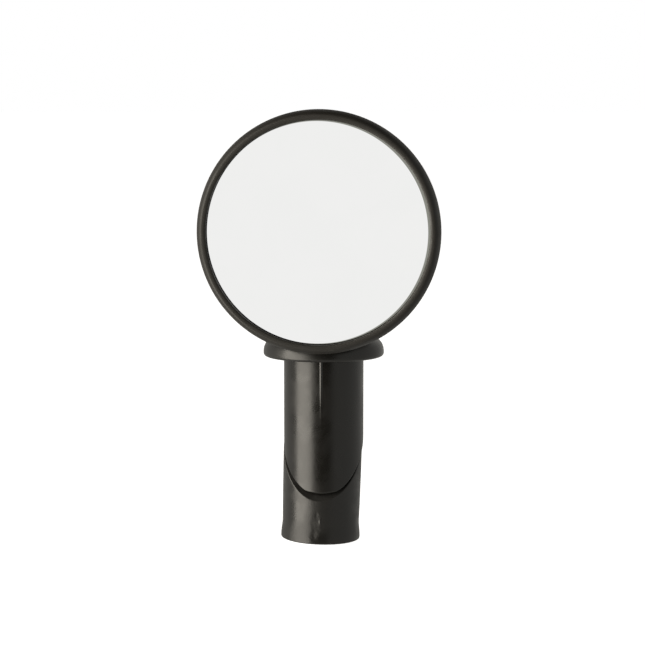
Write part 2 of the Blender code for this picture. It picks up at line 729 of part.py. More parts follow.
expander_axis = empty("expander_axis", (0, 0, -LEAN_DEPTH), (0, LEAN, 0))
ball_centre = empty("ball_centre", (0, 0, BALL_HEIGHT))

make_expander_body()
make_expander_wedge(expander_axis)
make_bolt_set(expander_axis)
make_end_cap()
make_socket_collar()
make_ball_set(ball_centre)
make_ball_stud(ball_centre)
make_neck(ball_centre)
make_neck_screws(ball_centre)
make_rear_shell(ball_centre)
make_glass_stack(ball_centre)
make_bezel_ring(ball_centre)
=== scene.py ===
"""Looks for a round bar-end bicycle mirror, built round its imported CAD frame.

Outlines and sizes are in millimetres: a radius from the piece's own axis and a height along it.
Meshes are made in metres, in the CAD's frame: +Z up along the plug, mirror facing -Y.
"""

import math

import bmesh
import bpy
from mathutils import Matrix, Vector


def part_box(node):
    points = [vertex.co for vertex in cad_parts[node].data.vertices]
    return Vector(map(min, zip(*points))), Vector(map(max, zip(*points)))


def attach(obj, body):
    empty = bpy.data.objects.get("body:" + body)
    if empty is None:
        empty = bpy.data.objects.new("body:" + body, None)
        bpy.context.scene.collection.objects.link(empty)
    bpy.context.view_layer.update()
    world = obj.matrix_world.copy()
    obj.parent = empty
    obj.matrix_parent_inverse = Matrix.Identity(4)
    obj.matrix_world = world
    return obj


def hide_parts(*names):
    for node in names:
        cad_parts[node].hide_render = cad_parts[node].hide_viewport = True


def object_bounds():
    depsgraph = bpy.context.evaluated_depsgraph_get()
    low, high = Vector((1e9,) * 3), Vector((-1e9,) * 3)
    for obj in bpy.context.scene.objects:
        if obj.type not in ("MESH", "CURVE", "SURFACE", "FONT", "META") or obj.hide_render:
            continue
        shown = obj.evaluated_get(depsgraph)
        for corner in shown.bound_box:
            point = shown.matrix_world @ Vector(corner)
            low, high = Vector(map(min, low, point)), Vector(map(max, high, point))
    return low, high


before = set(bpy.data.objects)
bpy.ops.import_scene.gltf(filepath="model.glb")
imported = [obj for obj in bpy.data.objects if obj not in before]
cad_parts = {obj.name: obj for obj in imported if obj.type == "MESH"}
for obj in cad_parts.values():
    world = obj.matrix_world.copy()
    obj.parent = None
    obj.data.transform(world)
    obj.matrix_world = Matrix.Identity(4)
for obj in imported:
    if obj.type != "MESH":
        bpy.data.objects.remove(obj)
cad_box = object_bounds()

# ---- Expander body ----
# The upper part of the plug: a black glass-filled nylon moulding, cut off on a diagonal that the
# wedge slides up. It stands up into the cap, and holds the bolt's head and the ball's seat. The
# mould's parting line shows as a fine raised seam down its front and back.
MM = 0.001
GAP = 0.3                  # between faces that rest on each other
CUT_ANGLE = math.radians(53)
CUT_DEPTH = 20.3           # where the diagonal crosses the plug's axis
CUT_SLOPE = math.tan(CUT_ANGLE)
ROUND_STEPS = 192          # faces round a large piece
CORNER_STEPS = 6           # faces over a rounded corner
SHARP_ANGLE = math.radians(32)


def box_mm(node):
    """Lowest and highest corner of a CAD node, in millimetres."""
    low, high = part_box(node)
    return low / MM, high / MM


def even_angles(steps=ROUND_STEPS, close_to=(), reach=0.0, spacing=1.0):
    """Angles round a piece, 0 at its front, with closer ones on both sides of those in close_to."""
    angles = {round(360 * step / steps, 4) for step in range(steps)}
    for middle in close_to:
        extra = int(reach / spacing)
        angles |= {round((middle + spacing * step) % 360, 4) for step in range(-extra, extra + 1)}
    return [math.radians(angle) for angle in sorted(angles)]


def rounded(corners, closed=True):
    """An outline whose corners, given as (radius, height, rounding), have their round edges."""
    points = []
    count = len(corners)
    for at, (r, z, rounding) in enumerate(corners):
        if rounding <= 0 or (not closed and at in (0, count - 1)):
            points.append((r, z))
            continue
        corner = Vector((r, z))
        before = (Vector(corners[at - 1][:2]) - corner).normalized()
        after = (Vector(corners[(at + 1) % count][:2]) - corner).normalized()
        half = before.angle(after) / 2
        middle = corner + (before + after).normalized() * rounding / math.sin(half)
        start = corner + before * rounding / math.tan(half) - middle
        turn = start.angle_signed(corner + after * rounding / math.tan(half) - middle)
        for step in range(CORNER_STEPS + 1):
            spoke = Matrix.Rotation(-turn * step / CORNER_STEPS, 2) @ start
            points.append(tuple(middle + spoke))
    return points


def join_rings(shape, first, second):
    """Close the band between two rings of vertices. A ring may be one vertex, repeated."""
    for at in range(len(first)):
        after = (at + 1) % len(first)
        band = [first[at], first[after], second[after], second[at]]
        shape.faces.new([vert for spot, vert in enumerate(band) if vert is not band[spot - 1]])


def as_object(name, shape):
    """Put a finished shape into the scene as an object."""
    mesh = bpy.data.meshes.new(name)
    shape.to_mesh(mesh)
    shape.free()
    made = bpy.data.objects.new(name, mesh)
    bpy.context.scene.collection.objects.link(made)
    return made


def skin(name, outline_at, angles=None, closed=True):
    """A mesh round local Z. outline_at(angle) gives the outline there, always with as many points."""
    angles = angles or even_angles()
    columns = [outline_at(angle) for angle in angles]
    shape = bmesh.new()
    rows = []
    for row in range(len(columns[0])):
        if max(column[row][0] for column in columns) < 1e-6:
            tip = shape.verts.new((0, 0, columns[0][row][1] * MM))
            rows.append([tip] * len(angles))
            continue
        rows.append([
            shape.verts.new((
                column[row][0] * math.sin(angle) * MM,
                -column[row][0] * math.cos(angle) * MM,
                column[row][1] * MM,
            ))
            for column, angle in zip(columns, angles)
        ])
    pairs = list(zip(rows, rows[1:]))
    if closed:
        pairs.append((rows[-1], rows[0]))
    for upper, lower in pairs:
        join_rings(shape, upper, lower)
    bmesh.ops.recalc_face_normals(shape, faces=shape.faces)
    return as_object(name, shape)


def turned(name, corners, closed=True, steps=ROUND_STEPS):
    """A piece of revolution from its rounded corners."""
    outline = rounded(corners, closed)
    return skin(name, lambda angle: outline, even_angles(steps), closed)


def fit(piece, material, body, cad_node):
    """Give a piece its finish, and put it in its CAD node's place on that node's body."""
    mesh = piece.data
    mesh.materials.clear()
    mesh.materials.append(material)
    mesh.shade_smooth()
    mesh.set_sharp_from_angle(angle=SHARP_ANGLE)
    weighted = piece.modifiers.new("even_normals", "WEIGHTED_NORMAL")
    weighted.keep_sharp = True
    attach(piece, body)
    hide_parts(cad_node)


def node(tree, kind, values=None, **settings):
    """Add a shader node. A value that is another node's socket is linked, and any other is set."""
    made = tree.nodes.new(kind)
    for key, value in settings.items():
        setattr(made, key, value)
    for key, value in (values or {}).items():
        if isinstance(value, bpy.types.NodeSocket):
            tree.links.new(value, made.inputs[key])
        else:
            made.inputs[key].default_value = value
    return made


def worked_out(tree, operation, first, second):
    """Number that an operation makes of two others."""
    return node(tree, "ShaderNodeMath", {0: first, 1: second}, operation=operation).outputs[0]


def blend(tree, factor, first, second):
    """Colour between two colours, by a factor."""
    made = node(tree, "ShaderNodeMix", {0: factor, 6: first, 7: second}, data_type="RGBA")
    return made.outputs[2]


def between(tree, value, low, high, first, second):
    """Number that goes smoothly from first to second as value goes from low to high."""
    return node(tree, "ShaderNodeMapRange", {
        "Value": value, "From Min": low, "From Max": high, "To Min": first, "To Max": second,
    }, interpolation_type="SMOOTHSTEP").outputs["Result"]


def effect(name, inputs, outputs):
    """An empty node group. Gives its tree, the sockets that come in, and its output node."""
    tree = bpy.data.node_groups.new(name, "ShaderNodeTree")
    for label, kind, value in inputs:
        socket = tree.interface.new_socket(label, in_out="INPUT", socket_type=kind)
        if value is not None:
            socket.default_value = value
    for label in outputs:
        tree.interface.new_socket(label, in_out="OUTPUT", socket_type="NodeSocketFloat")
    return tree, tree.nodes.new("NodeGroupInput").outputs, tree.nodes.new("NodeGroupOutput")


def moulded_grain_effect():
    """Fine grain that a spark-eroded mould leaves: close pits over a low, slow ripple."""
    tree, given, out = effect("moulded_grain", [
        ("Coordinate", "NodeSocketVector", None),
        ("Pits per metre", "NodeSocketFloat", 6000.0),
        ("Ripple", "NodeSocketFloat", 0.3),
    ], ["Height", "Fleck"])
    pits = node(tree, "ShaderNodeTexVoronoi", {
        "Vector": given["Coordinate"], "Scale": given["Pits per metre"],
    }, feature="SMOOTH_F1")
    grit = node(tree, "ShaderNodeTexNoise", {
        "Vector": given["Coordinate"], "Scale": given["Pits per metre"], "Detail": 2.0,
    })
    slow = node(tree, "ShaderNodeTexNoise", {
        "Vector": given["Coordinate"], "Scale": 420.0, "Detail": 3.0,
    })
    pitted = worked_out(tree, "ADD", pits.outputs["Distance"], grit.outputs[0])
    swell = worked_out(tree, "MULTIPLY", slow.outputs[0], given["Ripple"])
    tree.links.new(worked_out(tree, "ADD", pitted, swell), out.inputs["Height"])
    tree.links.new(between(tree, grit.outputs[0], 0.45, 0.75, 0.0, 1.0), out.inputs["Fleck"])
    return tree


def handling_effect():
    """Where hands have been: broad soft patches, broken up by finer streaks."""
    tree, given, out = effect("handling_marks", [
        ("Coordinate", "NodeSocketVector", None),
        ("Patches per metre", "NodeSocketFloat", 90.0),
    ], ["Patch"])
    broad = node(tree, "ShaderNodeTexNoise", {
        "Vector": given["Coordinate"], "Scale": given["Patches per metre"], "Detail": 4.0,
        "Roughness": 0.62, "Distortion": 0.6,
    })
    tree.links.new(between(tree, broad.outputs[0], 0.35, 0.68, 0.0, 1.0), out.inputs["Patch"])
    return tree


def edge_wear_effect():
    """Edges rubbed by handling: where the surface is sharply convex, broken up by a fine noise."""
    tree, given, out = effect("edge_wear", [
        ("Coordinate", "NodeSocketVector", None),
        ("Start", "NodeSocketFloat", 0.54),
    ], ["Worn"])
    bend = node(tree, "ShaderNodeNewGeometry").outputs["Pointiness"]
    past = worked_out(tree, "SUBTRACT", bend, given["Start"])
    edge = between(tree, past, 0.0, 0.06, 0.0, 1.0)
    broken = node(tree, "ShaderNodeTexNoise", {
        "Vector": given["Coordinate"], "Scale": 1500.0, "Detail": 4.0, "Roughness": 0.7,
    })
    patches = between(tree, broken.outputs[0], 0.42, 0.62, 0.0, 1.0)
    tree.links.new(worked_out(tree, "MULTIPLY", edge, patches), out.inputs["Worn"])
    return tree


moulded_grain = moulded_grain_effect()
handling_marks = handling_effect()
edge_wear = edge_wear_effect()


def new_finish(name):
    """An empty finish. Gives it, its node tree, its shader's inputs and the place on the piece."""
    made = bpy.data.materials.new(name)
    made.use_nodes = True
    tree = made.node_tree
    where = node(tree, "ShaderNodeTexCoord").outputs["Object"]
    return made, tree, tree.nodes["Principled BSDF"].inputs, where


def press_in(tree, surface, height, depth):
    """Press a pattern of heights into a finish, to a depth in millimetres."""
    bump = node(tree, "ShaderNodeBump", {"Height": height, "Strength": 1.0, "Distance": depth * MM})
    tree.links.new(bump.outputs["Normal"], surface["Normal"])


def moulded_plastic(name, colour, roughness, pits=6000.0, depth=0.012, ripple=0.3, worn=0.35,
                    spread=0.06, specular=0.5):
    """A moulded plastic: grained, a little uneven in gloss, and rubbed paler along its edges."""
    made, tree, surface, where = new_finish(name)
    grain = node(tree, "ShaderNodeGroup", {
        "Coordinate": where, "Pits per metre": pits, "Ripple": ripple,
    }, node_tree=moulded_grain)
    touched = node(tree, "ShaderNodeGroup", {"Coordinate": where}, node_tree=handling_marks)
    rubbed = node(tree, "ShaderNodeGroup", {"Coordinate": where}, node_tree=edge_wear)
    paler = tuple(min(1.0, channel * 1.5 + 0.002) for channel in colour)
    scuffed = tuple(min(1.0, channel * 2.5 + 0.02) for channel in colour)
    flecks = worked_out(tree, "MULTIPLY", grain.outputs["Fleck"], 0.5)
    flecked = blend(tree, flecks, (*colour, 1.0), (*paler, 1.0))
    share = worked_out(tree, "MULTIPLY", rubbed.outputs["Worn"], worn)
    tree.links.new(blend(tree, share, flecked, (*scuffed, 1.0)), surface["Base Color"])
    gloss = between(tree, touched.outputs["Patch"], 0.0, 1.0, roughness + spread, roughness - spread)
    tree.links.new(gloss, surface["Roughness"])
    press_in(tree, surface, grain.outputs["Height"], depth)
    surface["Specular IOR Level"].default_value = specular
    return made


def soft_minimum(first, second, width):
    """The smaller of two numbers, with the change from one to the other rounded."""
    return (first + second - math.hypot(first - second, width)) / 2


def ridge(angle, half_width):
    """1 on the seam at the front or the back, falling to 0 at half_width radians to either side."""
    away = abs(math.remainder(angle, math.pi))
    return math.cos(math.pi / 2 * away / half_width) ** 2 if away < half_width else 0.0


body_low, body_high = box_mm("expander_body")
washer_low, washer_high = box_mm("bolt_washer")
spring_low, spring_high = box_mm("seat_spring")
seat_low, seat_high = box_mm("ball_seat")
PLUG_RADIUS = body_high.x
TIP_DEPTH = -body_low.z
SOCKET = seat_high.x + GAP
LEDGE = spring_low.z - GAP
POCKET_RADIUS = washer_high.x + 0.25
POCKET_FLOOR = washer_low.z - GAP
BOLT_BORE = 3.1
CHAMFER = 0.4              # at the body's upper end
CUT_ROUNDING = 0.45
EDGE_REACH = 0.8           # how far the cut's rounded edge reaches along each face
SEAM_TOP = 0.26            # height of the seam under the cap
SEAM_LENGTH = 17.0
SEAM_HALF_WIDTH = math.radians(2.5)


def body_outline(angle):
    """The body's outline: its wall with the seam, the diagonal cut, and the bores down its middle."""
    def bottom(r):
        """Height of the body's underside at this radius."""
        diagonal = CUT_DEPTH + CUT_SLOPE * r * math.cos(angle)
        return -soft_minimum(TIP_DEPTH + 0.05, diagonal, CUT_ROUNDING)

    seam = SEAM_TOP * ridge(angle, SEAM_HALF_WIDTH)
    edge = bottom(PLUG_RADIUS)
    wall_top, wall_rows = -0.2, 16
    wall = []
    for row in range(wall_rows + 1):
        z = wall_top + (edge + 1.2) * row / wall_rows
        wall.append((PLUG_RADIUS + seam * max(0.0, 1 + z / SEAM_LENGTH) ** 1.5, z, 0))
    inner = PLUG_RADIUS - EDGE_REACH
    half_corner = (math.pi / 2 - math.atan((bottom(inner) - edge) / EDGE_REACH)) / 2
    slope = [inner + (BOLT_BORE + 0.6 - inner) * step / 24 for step in range(25)]
    return rounded([
        (PLUG_RADIUS - CHAMFER, body_high.z, 0),
        (PLUG_RADIUS, body_high.z - CHAMFER, 0),
        *wall,
        (PLUG_RADIUS, edge, min(CUT_ROUNDING, EDGE_REACH * math.tan(half_corner))),
        *[(r, bottom(r), 0) for r in slope],
        (BOLT_BORE, bottom(BOLT_BORE), 0.2),
        (BOLT_BORE, POCKET_FLOOR, 0.15),
        (POCKET_RADIUS, POCKET_FLOOR, 0.2),
        (POCKET_RADIUS, LEDGE, 0.2),
        (SOCKET, LEDGE, 0.2),
        (SOCKET, body_high.z, 0.2),
    ])


expander_body = skin("plug_body", body_outline, even_angles(
    close_to=(0, 180), reach=2.25, spacing=0.25,
))
body_nylon = moulded_plastic("body_nylon", (0.0058, 0.0053, 0.0044), 0.30, pits=5200, depth=0.004)
fit(expander_body, body_nylon, "plug", "expander_body")

# ---- Expander wedge ----
# The lower part of the plug, in the same nylon but with a duller, mottled skin. The nut in its
# pocket draws it up the diagonal, so that it grips the bar. The bolt is slack, so it hangs over a
# little. The gate where the plastic entered the mould shows on its front, in a shallow recess.
LEAN = math.radians(1.6)
LEAN_DEPTH = 14.5          # where the leaning wedge's axis crosses the plug's
CUT_GAP = 0.55             # between the wedge and the body, square to the diagonal
WEDGE_CUT_DEPTH = CUT_DEPTH + CUT_GAP / math.cos(CUT_ANGLE)
HEEL_DEPTH = 10.5
FOOT_DEPTH = 44.0
WEDGE_TOP_RADIUS = PLUG_RADIUS - 0.13
WEDGE_WAIST = PLUG_RADIUS - 0.32
WEDGE_LIP = PLUG_RADIUS - 0.05
HEEL_ROUNDING = 0.3
TAPER_START = 20.0
TAPER_END = FOOT_DEPTH - 4.5
FLARE_START = FOOT_DEPTH - 4.2
FLARE_END = FOOT_DEPTH - 0.8
GATE_DEPTH = 38.6
RECESS_DEPTH = 0.05
PIT_DEPTH = 0.06
NUB_HEIGHT = 0.11
hung_over = (
    Matrix.Translation((0, 0, -LEAN_DEPTH * MM)) @ Matrix.Rotation(LEAN, 4, "Y")
    @ Matrix.Translation((0, 0, LEAN_DEPTH * MM))
)


def smooth_step(value, low, high):
    """0 below low and 1 above high, with a smooth change between them."""
    share = min(1.0, max(0.0, (value - low) / (high - low)))
    return share * share * (3 - 2 * share)


def wedge_radius(z):
    """The wedge's outer radius: it narrows downwards, then flares into its foot."""
    taper = min(1.0, max(0.0, (-z - TAPER_START) / (TAPER_END - TAPER_START))) ** 2
    flare = smooth_step(-z, FLARE_START, FLARE_END)
    return WEDGE_TOP_RADIUS + (WEDGE_WAIST - WEDGE_TOP_RADIUS) * taper + (WEDGE_LIP - WEDGE_WAIST) * flare


def swelling(across, down, half_width, half_length, steepness=2):
    """1 in the middle of an oval mark, falling to 0 past its edge, which steepness sharpens."""
    return math.exp(-((across / half_width) ** steepness) - (down / half_length) ** steepness)


def gate_relief(angle, z):
    """The gate's shallow ragged recess with two pits in it, and the nub left beside it."""
    across = math.remainder(angle, 2 * math.pi) * WEDGE_WAIST
    down = -z - GATE_DEPTH
    ragged = across + 0.22 * math.sin(2.1 * down + 0.6) + 0.10 * math.sin(5.3 * down)
    recess = RECESS_DEPTH * swelling(ragged + 0.75, down - 1.6, 0.85, 3.2, steepness=4)
    upper_pit = PIT_DEPTH * swelling(across + 0.5, down + 1.5, 0.35, 0.8)
    lower_pit = PIT_DEPTH * swelling(across + 0.9, down - 3.2, 0.45, 1.0)
    nub = NUB_HEIGHT * swelling(across - 0.38, down, 0.24, 0.62)
    return nub - recess - upper_pit - lower_pit


def wedge_outline(angle):
    """The wedge's outline: the diagonal from its middle, the wall with the gate, and the foot."""
    def top(r):
        """Height of the wedge's upper side at this radius."""
        diagonal = -WEDGE_CUT_DEPTH - CUT_SLOPE * r * math.cos(angle)
        return soft_minimum(-HEEL_DEPTH, diagonal, HEEL_ROUNDING)

    edge = top(WEDGE_TOP_RADIUS)
    wall_rows = 60
    start, end = edge - 0.9, -FOOT_DEPTH + 0.5
    wall = []
    for row in range(wall_rows + 1):
        z = start + (end - start) * (row / wall_rows) ** 0.85
        wall.append((wedge_radius(z) + gate_relief(angle, z), z, 0))
    inner = WEDGE_TOP_RADIUS - 1.2
    return rounded([
        (0, -WEDGE_CUT_DEPTH, 0),
        *[(inner * step / 12, top(inner * step / 12), 0) for step in range(1, 13)],
        (wedge_radius(edge), edge, 0.45),
        *wall,
        (WEDGE_LIP, -FOOT_DEPTH, 0.35),
        (WEDGE_LIP * 0.5, -FOOT_DEPTH, 0),
        (0, -FOOT_DEPTH, 0),
    ], closed=False)


def block(name, low, high, bevel=0.0):
    """A box between two corners in millimetres, with rounded edges."""
    shape = bmesh.new()
    size = Vector(high) - Vector(low)
    middle = (Vector(high) + Vector(low)) / 2
    matrix = Matrix.Translation(middle * MM) @ Matrix.Diagonal((*(size * MM), 1.0))
    bmesh.ops.create_cube(shape, size=1.0, matrix=matrix)
    if bevel:
        bmesh.ops.bevel(
            shape, geom=shape.edges[:], offset=bevel * MM, segments=4, profile=0.5, affect="EDGES",
        )
    return as_object(name, shape)


def carve(piece, other, operation="DIFFERENCE"):
    """Cut a piece with another object, or join the other to it, and remove the other."""
    step = piece.modifiers.new("carve", "BOOLEAN")
    step.operation = operation
    step.object = other
    step.solver = "EXACT"
    bpy.context.view_layer.update()
    shaped = bpy.data.meshes.new_from_object(
        piece.evaluated_get(bpy.context.evaluated_depsgraph_get())
    )
    piece.modifiers.remove(step)
    piece.data = shaped
    bpy.data.objects.remove(other)


expander_wedge = skin("plug_wedge", wedge_outline, even_angles(
    close_to=(0,), reach=12, spacing=0.5,
), closed=False)
BOLT_RADIUS = 2.5
BOLT_SPACE = 0.4           # round the bolt, where it passes through a piece
NUT_SIDE = 8.0
NUT_TOP = -37.5
NUT_CLIMB = 3.0            # from rest to where the plug is tight
NUT_DROP = 1.6             # from rest to where it is slack
tight_shift = NUT_CLIMB / CUT_SLOPE
slack_shift = NUT_DROP / CUT_SLOPE
half_slot = BOLT_RADIUS + BOLT_SPACE
half_nut = NUT_SIDE / 2 + GAP
carve(expander_wedge, block(
    "slot", (-half_slot, -half_slot - tight_shift, -FOOT_DEPTH - 1), (half_slot, half_slot + slack_shift, 0),
))
carve(expander_wedge, block(
    "pocket", (-half_nut, -half_nut - tight_shift, -FOOT_DEPTH - 3),
    (half_nut, half_nut + slack_shift, NUT_TOP + GAP),
))
expander_wedge.data.transform(hung_over)
wedge_nylon = moulded_plastic(
    "wedge_nylon", (0.0070, 0.0065, 0.0056), 0.36, pits=3600, depth=0.014, ripple=2.2, spread=0.09,
)
fit(expander_wedge, wedge_nylon, "wedge", "expander_wedge")

# ---- Expander bolt, washer and nut ----
# An M5 socket-head bolt runs down the plug into a square nut, which the wedge's pocket keeps from
# turning. All three are bright zinc-plated steel. The bolt's thread is rolled, and its end chamfered.
BOLT_HEAD_RADIUS = 4.25
BOLT_HEAD_BOTTOM = washer_high.z + 0.5
BOLT_HEAD_TOP = BOLT_HEAD_BOTTOM + 5.0
KEY_WIDTH = 4.0
KEY_DEPTH = 2.6
BOLT_END = -43.3
BOLT_CHAMFER = 0.5
THREAD_TOP = -22.0
THREAD_PITCH = 0.8
THREAD_DEPTH = 0.42
THREAD_RUN_OUT = 1.6


def turning_effect():
    """Fine scratches that run round local Z, as turning and tumbling leave them."""
    tree, given, out = effect("turning_marks", [
        ("Coordinate", "NodeSocketVector", None),
        ("Lines per metre", "NodeSocketFloat", 9000.0),
    ], ["Height", "Spot"])
    x, y, z = node(tree, "ShaderNodeSeparateXYZ", {0: given["Coordinate"]}).outputs
    squares = worked_out(
        tree, "ADD", worked_out(tree, "MULTIPLY", x, x), worked_out(tree, "MULTIPLY", y, y),
    )
    radius = worked_out(tree, "POWER", squares, 0.5)
    spot = node(tree, "ShaderNodeCombineXYZ", {0: radius, 1: z})
    lines = node(tree, "ShaderNodeTexNoise", {
        "Vector": spot.outputs[0], "Scale": given["Lines per metre"], "Detail": 3.0,
    })
    dull = node(tree, "ShaderNodeTexNoise", {
        "Vector": given["Coordinate"], "Scale": 600.0, "Detail": 5.0, "Roughness": 0.65,
    })
    tree.links.new(lines.outputs[0], out.inputs["Height"])
    tree.links.new(between(tree, dull.outputs[0], 0.4, 0.7, 0.0, 1.0), out.inputs["Spot"])
    return tree


turning_marks = turning_effect()


def plated_metal(name, colour, dull_colour, roughness, lines=9000.0, depth=0.004):
    """A bare or plated metal with fine turning marks and duller spots."""
    made, tree, surface, where = new_finish(name)
    marks = node(tree, "ShaderNodeGroup", {
        "Coordinate": where, "Lines per metre": lines,
    }, node_tree=turning_marks)
    spot = marks.outputs["Spot"]
    tree.links.new(blend(tree, spot, (*colour, 1.0), (*dull_colour, 1.0)), surface["Base Color"])
    tree.links.new(between(tree, spot, 0.0, 1.0, roughness, roughness + 0.12), surface["Roughness"])
    press_in(tree, surface, marks.outputs["Height"], depth)
    surface["Metallic"].default_value = 1.0
    return made


def thread_depth(angle, z):
    """How far a screw thread cuts in at this place. It fades out at its upper end."""
    turn = (z / THREAD_PITCH - angle / (2 * math.pi)) % 1.0
    return THREAD_DEPTH * abs(2 * turn - 1) * smooth_step(-z, -THREAD_TOP, THREAD_RUN_OUT - THREAD_TOP)


def bolt_outline(angle):
    """The bolt's outline: its head, its plain shank, its thread and its chamfered end."""
    shank = []
    thread_length = THREAD_TOP - BOLT_END - BOLT_CHAMFER
    rows = int(thread_length / THREAD_PITCH * 6)
    for row in range(rows + 1):
        z = THREAD_TOP - thread_length * row / rows
        shank.append((BOLT_RADIUS - thread_depth(angle, z), z, 0))
    return rounded([
        (0, BOLT_HEAD_TOP, 0),
        (BOLT_HEAD_RADIUS, BOLT_HEAD_TOP, 0.45),
        (BOLT_HEAD_RADIUS, BOLT_HEAD_BOTTOM, 0.15),
        (BOLT_RADIUS, BOLT_HEAD_BOTTOM, 0.2),
        *shank,
        (BOLT_RADIUS - 0.6, BOLT_END, 0),
        (0, BOLT_END, 0),
    ], closed=False)


def hexagon(name, across_flats, low, high):
    """A six-sided bar along local Z."""
    shape = bmesh.new()
    corner = across_flats / math.sqrt(3) * MM
    bmesh.ops.create_cone(
        shape, cap_ends=True, segments=6, radius1=corner, radius2=corner, depth=(high - low) * MM,
        matrix=Matrix.Translation((0, 0, (low + high) / 2 * MM)),
    )
    return as_object(name, shape)


bolt = skin("expander_screw", bolt_outline, even_angles(72), closed=False)
carve(bolt, hexagon("socket", KEY_WIDTH, BOLT_HEAD_TOP - KEY_DEPTH, BOLT_HEAD_TOP + 1))
bolt.data.transform(hung_over)
zinc = plated_metal("zinc_plate", (0.60, 0.61, 0.62), (0.44, 0.45, 0.47), 0.24)
fit(bolt, zinc, "bolt", "expander_bolt")

NUT_BOTTOM = NUT_TOP - 4.0
NUT_BORE = 2.75
NUT_MOUTH = 3.7            # where the lead-in at each end of the bore is widest
nut = block(
    "clamp_nut", (-NUT_SIDE / 2, -NUT_SIDE / 2, NUT_BOTTOM), (NUT_SIDE / 2, NUT_SIDE / 2, NUT_TOP),
    bevel=0.35,
)
carve(nut, turned("nut_hole", [
    (0, NUT_TOP + 1, 0),
    (NUT_MOUTH, NUT_TOP + 1, 0),
    (NUT_MOUTH, NUT_TOP + 0.2, 0),
    (NUT_BORE, NUT_TOP - 0.6, 0),
    (NUT_BORE, NUT_BOTTOM + 0.6, 0),
    (NUT_MOUTH, NUT_BOTTOM - 0.2, 0),
    (NUT_MOUTH, NUT_BOTTOM - 1, 0),
    (0, NUT_BOTTOM - 1, 0),
], closed=False, steps=72))
nut.data.transform(hung_over)
fit(nut, zinc, "nut", "square_nut")

washer = turned("head_washer", [
    (washer_high.x, washer_high.z, 0.15),
    (washer_high.x, washer_low.z, 0.15),
    (BOLT_RADIUS + BOLT_SPACE, washer_low.z, 0.1),
    (BOLT_RADIUS + BOLT_SPACE, washer_high.z, 0.1),
], steps=96)
fit(washer, zinc, "plug", "bolt_washer")

# ---- End cap ----
# The round flange that meets the bar's end: a black nylon moulding with a broad rounded shoulder,
# a flat underside, and a turret that holds the ball's seat. It is pressed on to the plug's body.
cap_low, cap_high = box_mm("end_cap")
CAP_RADIUS = cap_high.x
CAP_TOP = 4.65
TURRET_RADIUS = SOCKET + 1.4
cap = turned("end_flange", [
    (TURRET_RADIUS, cap_high.z, 0.3),
    (TURRET_RADIUS, CAP_TOP, 0.25),
    (CAP_RADIUS, CAP_TOP, 3.35),
    (CAP_RADIUS, cap_low.z, 0.8),
    (PLUG_RADIUS + GAP, cap_low.z, 0.15),
    (PLUG_RADIUS + GAP, body_high.z + GAP, 0.1),
    (SOCKET, body_high.z + GAP, 0.1),
    (SOCKET, cap_high.z, 0.2),
])
cap_nylon = moulded_plastic("cap_nylon", (0.0070, 0.0065, 0.0055), 0.32, pits=5600, depth=0.005)
fit(cap, cap_nylon, "plug", "end_cap")

# ---- Ball joint ----
# A sprung steel washer pushes a white acetal seat up against the collar. In the seat sits a thin
# sintered bronze liner, and in that the polished steel ball, whose shank is pressed into the neck.
BALL_HEIGHT = 5.0
KEY_HOLE = 3.0             # radius of the way through to the bolt's head
SPRING_THICKNESS = 0.35
liner_high = box_mm("ball_liner")[1]
stud_low, stud_high = box_mm("ball_stud")
LINER_OUTER = liner_high.x
LINER_INNER = LINER_OUTER - 0.7
SEAT_INNER = LINER_OUTER + 0.25
BALL_RADIUS = BALL_HEIGHT - stud_low.z
STUD_RADIUS = 2.1
STUD_SHOULDER = BALL_HEIGHT + 6.2
TANG_RADIUS = 1.5


def round_stretch(radius, start, end, steps):
    """Points round the ball's centre, from one angle above its middle to another, in degrees."""
    points = []
    for step in range(steps + 1):
        angle = math.radians(start + (end - start) * step / steps)
        points.append((radius * math.cos(angle), BALL_HEIGHT + radius * math.sin(angle), 0))
    return points


spring = turned("sprung_washer", [
    (spring_high.x, spring_low.z + SPRING_THICKNESS, 0.1),
    (spring_high.x, spring_low.z, 0.1),
    (KEY_HOLE + 1.0, spring_high.z - SPRING_THICKNESS, 0.1),
    (KEY_HOLE + 1.0, spring_high.z, 0.1),
], steps=96)
spring_steel = plated_metal("tempered_steel", (0.30, 0.27, 0.24), (0.18, 0.16, 0.17), 0.28)
fit(spring, spring_steel, "plug", "seat_spring")

seat_top_angle = math.degrees(math.asin((seat_high.z - BALL_HEIGHT) / SEAT_INNER))
seat_low_angle = -math.degrees(math.acos(KEY_HOLE / SEAT_INNER))
seat = turned("acetal_seat", [
    (seat_high.x, seat_high.z, 0.2),
    (seat_high.x, seat_low.z, 0.4),
    (KEY_HOLE, seat_low.z, 0.2),
    *round_stretch(SEAT_INNER, seat_low_angle, seat_top_angle, 28),
], steps=120)
acetal = moulded_plastic("white_acetal", (0.74, 0.73, 0.69), 0.38, pits=3000, depth=0.004, worn=0.1)
fit(seat, acetal, "seat", "ball_seat")

liner_top_angle = math.degrees(math.asin((liner_high.z - BALL_HEIGHT) / LINER_OUTER))
liner_low_angle = -math.degrees(math.acos(KEY_HOLE / LINER_OUTER))
liner = turned("bronze_shell", [
    *round_stretch(LINER_OUTER, liner_top_angle, liner_low_angle, 28),
    *round_stretch(LINER_INNER, liner_low_angle, liner_top_angle, 28),
], steps=120)
bronze = plated_metal("sintered_bronze", (0.52, 0.36, 0.18), (0.30, 0.20, 0.11), 0.36, lines=3000)
fit(liner, bronze, "liner", "ball_liner")

